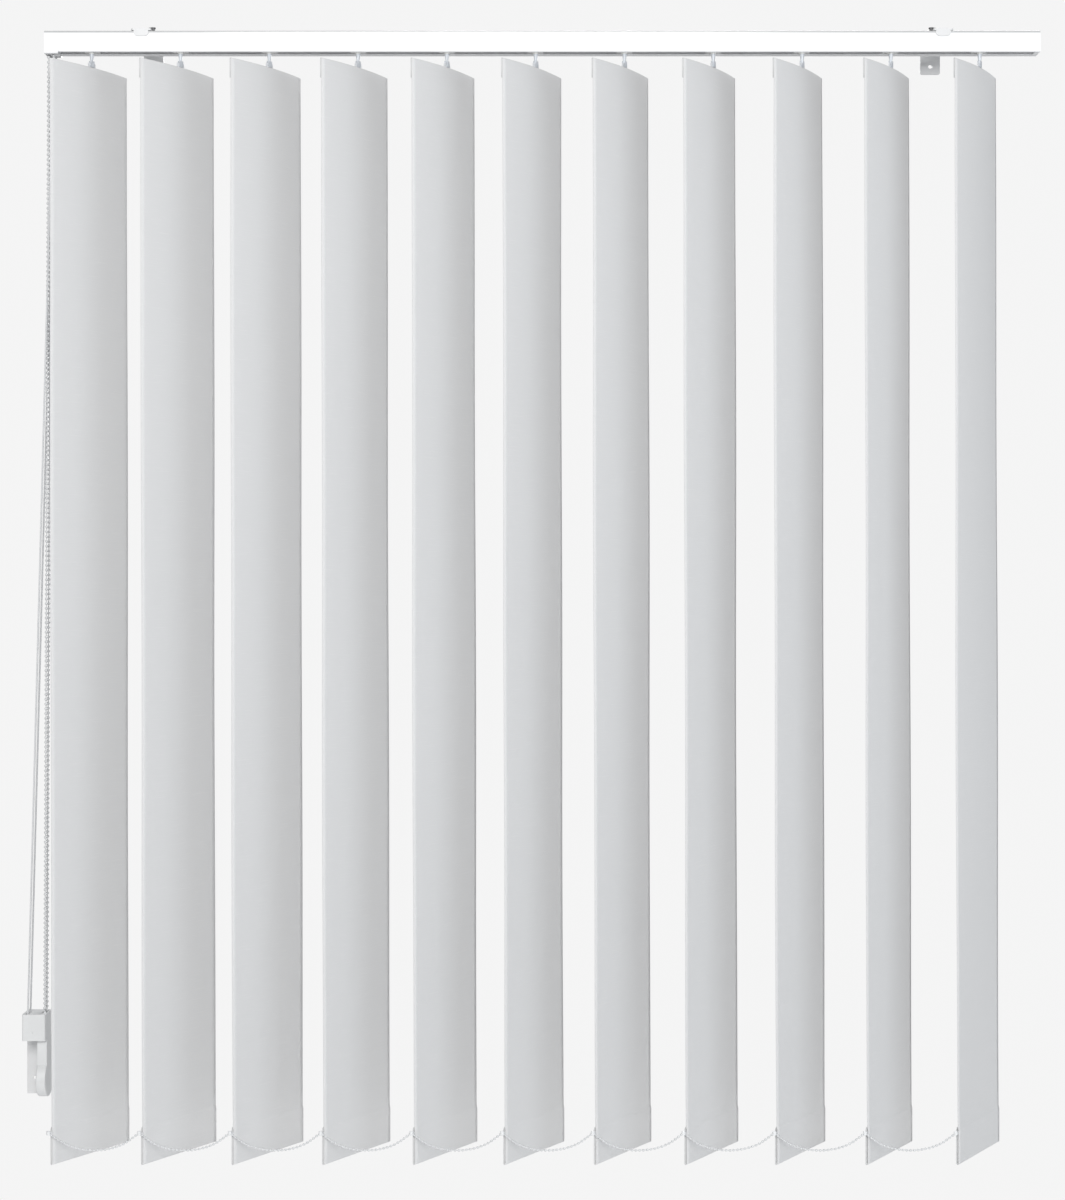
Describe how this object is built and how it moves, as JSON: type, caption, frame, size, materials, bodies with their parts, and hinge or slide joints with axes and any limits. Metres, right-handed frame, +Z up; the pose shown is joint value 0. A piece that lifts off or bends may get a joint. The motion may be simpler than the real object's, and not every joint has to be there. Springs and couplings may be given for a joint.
{
  "type": "vertical blind",
  "caption": "Vertical blind with cloth vanes hung from carriers in a white headrail, a bottom chain, a draw cord and a bead chain held in a wall tensioner.",
  "frame": {"origin": "middle of the four wall-screw holes of the two brackets, in the plane of the wall", "axes": "+X along the rail away from the control end, +Y into the wall, +Z up"},
  "size_m": [1.2713, 0.1334, 1.3934],
  "materials": {
    "rail_enamel": "gloss white enamel",
    "white_plastic": "satin",
    "grey_plastic": "matte",
    "clear_acetal": "satin",
    "carrier_acetal": "satin",
    "hook_plastic": "clear satin",
    "zinc_steel": "white paint",
    "rivet_steel": "bright",
    "rod_aluminium": "mill",
    "cord_polyester": "braided",
    "bead_plastic": "gloss",
    "vane_cloth": "fine matt weave"
  },
  "bodies": {
    "rail": {"headrail": "rail_enamel", "control_end_cap": "white_plastic", "idler_end_cap": "white_plastic", "wall_bracket_left": "zinc_steel", "wall_bracket_right": "zinc_steel", "rivets": "rivet_steel", "draw_cord": "cord_polyester", "bead_chain": "bead_plastic", "tensioner_housing": "white_plastic", "tensioner_bracket": "zinc_steel", "carrier_01": "carrier_acetal"},
    "tilt_rod": {"tilt_rod": "rod_aluminium", "chain_sprocket": "grey_plastic"},
    "idler_pulley": {"idler_pulley": "clear_acetal"},
    "lever_left": {"bracket_lever_left": "grey_plastic"},
    "lever_right": {"bracket_lever_right": "grey_plastic"},
    "bottom_chain": {"bottom_chain": "bead_plastic"},
    "vane_01": {"hook_01": "hook_plastic", "vane_01": "vane_cloth"},
    "worm_01": {"worm_01": "clear_acetal"},
    "vane_02": {"hook_02": "hook_plastic", "vane_02": "vane_cloth"},
    "worm_02": {"worm_02": "clear_acetal"},
    "carrier_02": {"carrier_02": "carrier_acetal"},
    "vane_03": {"hook_03": "hook_plastic", "vane_03": "vane_cloth"},
    "worm_03": {"worm_03": "clear_acetal"},
    "carrier_03": {"carrier_03": "carrier_acetal"},
    "vane_04": {"hook_04": "hook_plastic", "vane_04": "vane_cloth"},
    "worm_04": {"worm_04": "clear_acetal"},
    "carrier_04": {"carrier_04": "carrier_acetal"},
    "vane_05": {"hook_05": "hook_plastic", "vane_05": "vane_cloth"},
    "worm_05": {"worm_05": "clear_acetal"},
    "carrier_05": {"carrier_05": "carrier_acetal"},
    "vane_06": {"hook_06": "hook_plastic", "vane_06": "vane_cloth"},
    "worm_06": {"worm_06": "clear_acetal"},
    "carrier_06": {"carrier_06": "carrier_acetal"},
    "vane_07": {"hook_07": "hook_plastic", "vane_07": "vane_cloth"},
    "worm_07": {"worm_07": "clear_acetal"},
    "carrier_07": {"carrier_07": "carrier_acetal"},
    "vane_08": {"hook_08": "hook_plastic", "vane_08": "vane_cloth"},
    "worm_08": {"worm_08": "clear_acetal"},
    "carrier_08": {"carrier_08": "carrier_acetal"},
    "vane_09": {"hook_09": "hook_plastic", "vane_09": "vane_cloth"},
    "worm_09": {"worm_09": "clear_acetal"},
    "carrier_09": {"carrier_09": "carrier_acetal"},
    "vane_10": {"hook_10": "hook_plastic", "vane_10": "vane_cloth"},
    "worm_10": {"worm_10": "clear_acetal"},
    "carrier_10": {"carrier_10": "carrier_acetal"},
    "vane_11": {"hook_11": "hook_plastic", "vane_11": "vane_cloth"},
    "worm_11": {"worm_11": "clear_acetal"},
    "carrier_11": {"carrier_11": "carrier_acetal"}
  },
  "joints": [
    {"name": "vane_01_turn", "type": "hinge", "parent": "rail", "child": "vane_01", "pos_m": [-0.558, -0.076, -0.0275], "axis": [0, 0, 1], "range_deg": [-40, 95]},
    {"name": "lead_carrier_slide", "type": "slide", "parent": "rail", "child": "carrier_11", "axis": [1, 0, 0], "range_m": [-0.88, 0], "deforming": ["bottom_chain"]},
    {"name": "carrier_02_slide", "type": "slide", "parent": "rail", "child": "carrier_02", "axis": [1, 0, 0], "range_m": [-0.088, 0]},
    {"name": "carrier_03_slide", "type": "slide", "parent": "rail", "child": "carrier_03", "axis": [1, 0, 0], "range_m": [-0.176, 0]},
    {"name": "carrier_04_slide", "type": "slide", "parent": "rail", "child": "carrier_04", "axis": [1, 0, 0], "range_m": [-0.264, 0]},
    {"name": "carrier_05_slide", "type": "slide", "parent": "rail", "child": "carrier_05", "axis": [1, 0, 0], "range_m": [-0.352, 0]},
    {"name": "carrier_06_slide", "type": "slide", "parent": "rail", "child": "carrier_06", "axis": [1, 0, 0], "range_m": [-0.44, 0]},
    {"name": "carrier_07_slide", "type": "slide", "parent": "rail", "child": "carrier_07", "axis": [1, 0, 0], "range_m": [-0.528, 0]},
    {"name": "carrier_08_slide", "type": "slide", "parent": "rail", "child": "carrier_08", "axis": [1, 0, 0], "range_m": [-0.616, 0]},
    {"name": "carrier_09_slide", "type": "slide", "parent": "rail", "child": "carrier_09", "axis": [1, 0, 0], "range_m": [-0.704, 0]},
    {"name": "carrier_10_slide", "type": "slide", "parent": "rail", "child": "carrier_10", "axis": [1, 0, 0], "range_m": [-0.792, 0]},
    {"name": "vane_02_turn", "type": "hinge", "parent": "carrier_02", "child": "vane_02", "pos_m": [-0.448, -0.076, -0.0275], "axis": [0, 0, 1], "range_deg": [-40, 95]},
    {"name": "vane_03_turn", "type": "hinge", "parent": "carrier_03", "child": "vane_03", "pos_m": [-0.338, -0.076, -0.0275], "axis": [0, 0, 1], "range_deg": [-40, 95]},
    {"name": "vane_04_turn", "type": "hinge", "parent": "carrier_04", "child": "vane_04", "pos_m": [-0.228, -0.076, -0.0275], "axis": [0, 0, 1], "range_deg": [-40, 95]},
    {"name": "vane_05_turn", "type": "hinge", "parent": "carrier_05", "child": "vane_05", "pos_m": [-0.118, -0.076, -0.0275], "axis": [0, 0, 1], "range_deg": [-40, 95]},
    {"name": "vane_06_turn", "type": "hinge", "parent": "carrier_06", "child": "vane_06", "pos_m": [-0.008, -0.076, -0.0275], "axis": [0, 0, 1], "range_deg": [-40, 95]},
    {"name": "vane_07_turn", "type": "hinge", "parent": "carrier_07", "child": "vane_07", "pos_m": [0.102, -0.076, -0.0275], "axis": [0, 0, 1], "range_deg": [-40, 95]},
    {"name": "vane_08_turn", "type": "hinge", "parent": "carrier_08", "child": "vane_08", "pos_m": [0.212, -0.076, -0.0275], "axis": [0, 0, 1], "range_deg": [-40, 95]},
    {"name": "vane_09_turn", "type": "hinge", "parent": "carrier_09", "child": "vane_09", "pos_m": [0.322, -0.076, -0.0275], "axis": [0, 0, 1], "range_deg": [-40, 95]},
    {"name": "vane_10_turn", "type": "hinge", "parent": "carrier_10", "child": "vane_10", "pos_m": [0.432, -0.076, -0.0275], "axis": [0, 0, 1], "range_deg": [-40, 95]},
    {"name": "vane_11_turn", "type": "hinge", "parent": "carrier_11", "child": "vane_11", "pos_m": [0.542, -0.076, -0.0275], "axis": [0, 0, 1], "range_deg": [-40, 95]},
    {"name": "tilt_rod_spin", "type": "hinge", "parent": "rail", "child": "tilt_rod", "pos_m": [0, -0.07, 0.0005], "axis": [1, 0, 0], "range_deg": [-160, 380]},
    {"name": "worm_01_spin", "type": "hinge", "parent": "rail", "child": "worm_01", "pos_m": [-0.558, -0.07, 0.0005], "axis": [1, 0, 0], "range_deg": [-160, 380]},
    {"name": "worm_02_spin", "type": "hinge", "parent": "carrier_02", "child": "worm_02", "pos_m": [-0.448, -0.07, 0.0005], "axis": [1, 0, 0], "range_deg": [-160, 380]},
    {"name": "worm_03_spin", "type": "hinge", "parent": "carrier_03", "child": "worm_03", "pos_m": [-0.338, -0.07, 0.0005], "axis": [1, 0, 0], "range_deg": [-160, 380]},
    {"name": "worm_04_spin", "type": "hinge", "parent": "carrier_04", "child": "worm_04", "pos_m": [-0.228, -0.07, 0.0005], "axis": [1, 0, 0], "range_deg": [-160, 380]},
    {"name": "worm_05_spin", "type": "hinge", "parent": "carrier_05", "child": "worm_05", "pos_m": [-0.118, -0.07, 0.0005], "axis": [1, 0, 0], "range_deg": [-160, 380]},
    {"name": "worm_06_spin", "type": "hinge", "parent": "carrier_06", "child": "worm_06", "pos_m": [-0.008, -0.07, 0.0005], "axis": [1, 0, 0], "range_deg": [-160, 380]},
    {"name": "worm_07_spin", "type": "hinge", "parent": "carrier_07", "child": "worm_07", "pos_m": [0.102, -0.07, 0.0005], "axis": [1, 0, 0], "range_deg": [-160, 380]},
    {"name": "worm_08_spin", "type": "hinge", "parent": "carrier_08", "child": "worm_08", "pos_m": [0.212, -0.07, 0.0005], "axis": [1, 0, 0], "range_deg": [-160, 380]},
    {"name": "worm_09_spin", "type": "hinge", "parent": "carrier_09", "child": "worm_09", "pos_m": [0.322, -0.07, 0.0005], "axis": [1, 0, 0], "range_deg": [-160, 380]},
    {"name": "worm_10_spin", "type": "hinge", "parent": "carrier_10", "child": "worm_10", "pos_m": [0.432, -0.07, 0.0005], "axis": [1, 0, 0], "range_deg": [-160, 380]},
    {"name": "worm_11_spin", "type": "hinge", "parent": "carrier_11", "child": "worm_11", "pos_m": [0.542, -0.07, 0.0005], "axis": [1, 0, 0], "range_deg": [-160, 380]},
    {"name": "idler_pulley_spin", "type": "hinge", "parent": "rail", "child": "idler_pulley", "pos_m": [0.598, -0.073, 0.008], "axis": [0, 0, 1], "continuous": true},
    {"name": "lever_left_swing", "type": "hinge", "parent": "rail", "child": "lever_left", "pos_m": [-0.495, -0.073, 0.018], "axis": [0, 0, 1], "range_deg": [0, 60]},
    {"name": "lever_right_swing", "type": "hinge", "parent": "rail", "child": "lever_right", "pos_m": [0.495, -0.073, 0.018], "axis": [0, 0, 1], "range_deg": [-60, 0]},
    {"name": "bottom_chain_turn", "type": "hinge", "parent": "vane_01", "child": "bottom_chain", "pos_m": [-0.59893, -0.13096, -1.335], "axis": [0, 0, 1], "range_deg": [-95, 40]}
  ],
  "couplings": [
    {"joint": "carrier_02_slide", "follows": "lead_carrier_slide", "ratio": 0.1},
    {"joint": "carrier_03_slide", "follows": "lead_carrier_slide", "ratio": 0.2},
    {"joint": "carrier_04_slide", "follows": "lead_carrier_slide", "ratio": 0.3},
    {"joint": "carrier_05_slide", "follows": "lead_carrier_slide", "ratio": 0.4},
    {"joint": "carrier_06_slide", "follows": "lead_carrier_slide", "ratio": 0.5},
    {"joint": "carrier_07_slide", "follows": "lead_carrier_slide", "ratio": 0.6},
    {"joint": "carrier_08_slide", "follows": "lead_carrier_slide", "ratio": 0.7},
    {"joint": "carrier_09_slide", "follows": "lead_carrier_slide", "ratio": 0.8},
    {"joint": "carrier_10_slide", "follows": "lead_carrier_slide", "ratio": 0.9},
    {"joint": "vane_02_turn", "follows": "vane_01_turn", "ratio": 1},
    {"joint": "vane_03_turn", "follows": "vane_01_turn", "ratio": 1},
    {"joint": "vane_04_turn", "follows": "vane_01_turn", "ratio": 1},
    {"joint": "vane_05_turn", "follows": "vane_01_turn", "ratio": 1},
    {"joint": "vane_06_turn", "follows": "vane_01_turn", "ratio": 1},
    {"joint": "vane_07_turn", "follows": "vane_01_turn", "ratio": 1},
    {"joint": "vane_08_turn", "follows": "vane_01_turn", "ratio": 1},
    {"joint": "vane_09_turn", "follows": "vane_01_turn", "ratio": 1},
    {"joint": "vane_10_turn", "follows": "vane_01_turn", "ratio": 1},
    {"joint": "vane_11_turn", "follows": "vane_01_turn", "ratio": 1},
    {"joint": "tilt_rod_spin", "follows": "vane_01_turn", "ratio": 4},
    {"joint": "worm_01_spin", "follows": "vane_01_turn", "ratio": 4},
    {"joint": "worm_02_spin", "follows": "vane_01_turn", "ratio": 4},
    {"joint": "worm_03_spin", "follows": "vane_01_turn", "ratio": 4},
    {"joint": "worm_04_spin", "follows": "vane_01_turn", "ratio": 4},
    {"joint": "worm_05_spin", "follows": "vane_01_turn", "ratio": 4},
    {"joint": "worm_06_spin", "follows": "vane_01_turn", "ratio": 4},
    {"joint": "worm_07_spin", "follows": "vane_01_turn", "ratio": 4},
    {"joint": "worm_08_spin", "follows": "vane_01_turn", "ratio": 4},
    {"joint": "worm_09_spin", "follows": "vane_01_turn", "ratio": 4},
    {"joint": "worm_10_spin", "follows": "vane_01_turn", "ratio": 4},
    {"joint": "worm_11_spin", "follows": "vane_01_turn", "ratio": 4},
    {"joint": "idler_pulley_spin", "follows": "lead_carrier_slide", "rad_per_m": 142.86},
    {"joint": "bottom_chain_turn", "follows": "vane_01_turn", "ratio": -1}
  ]
}
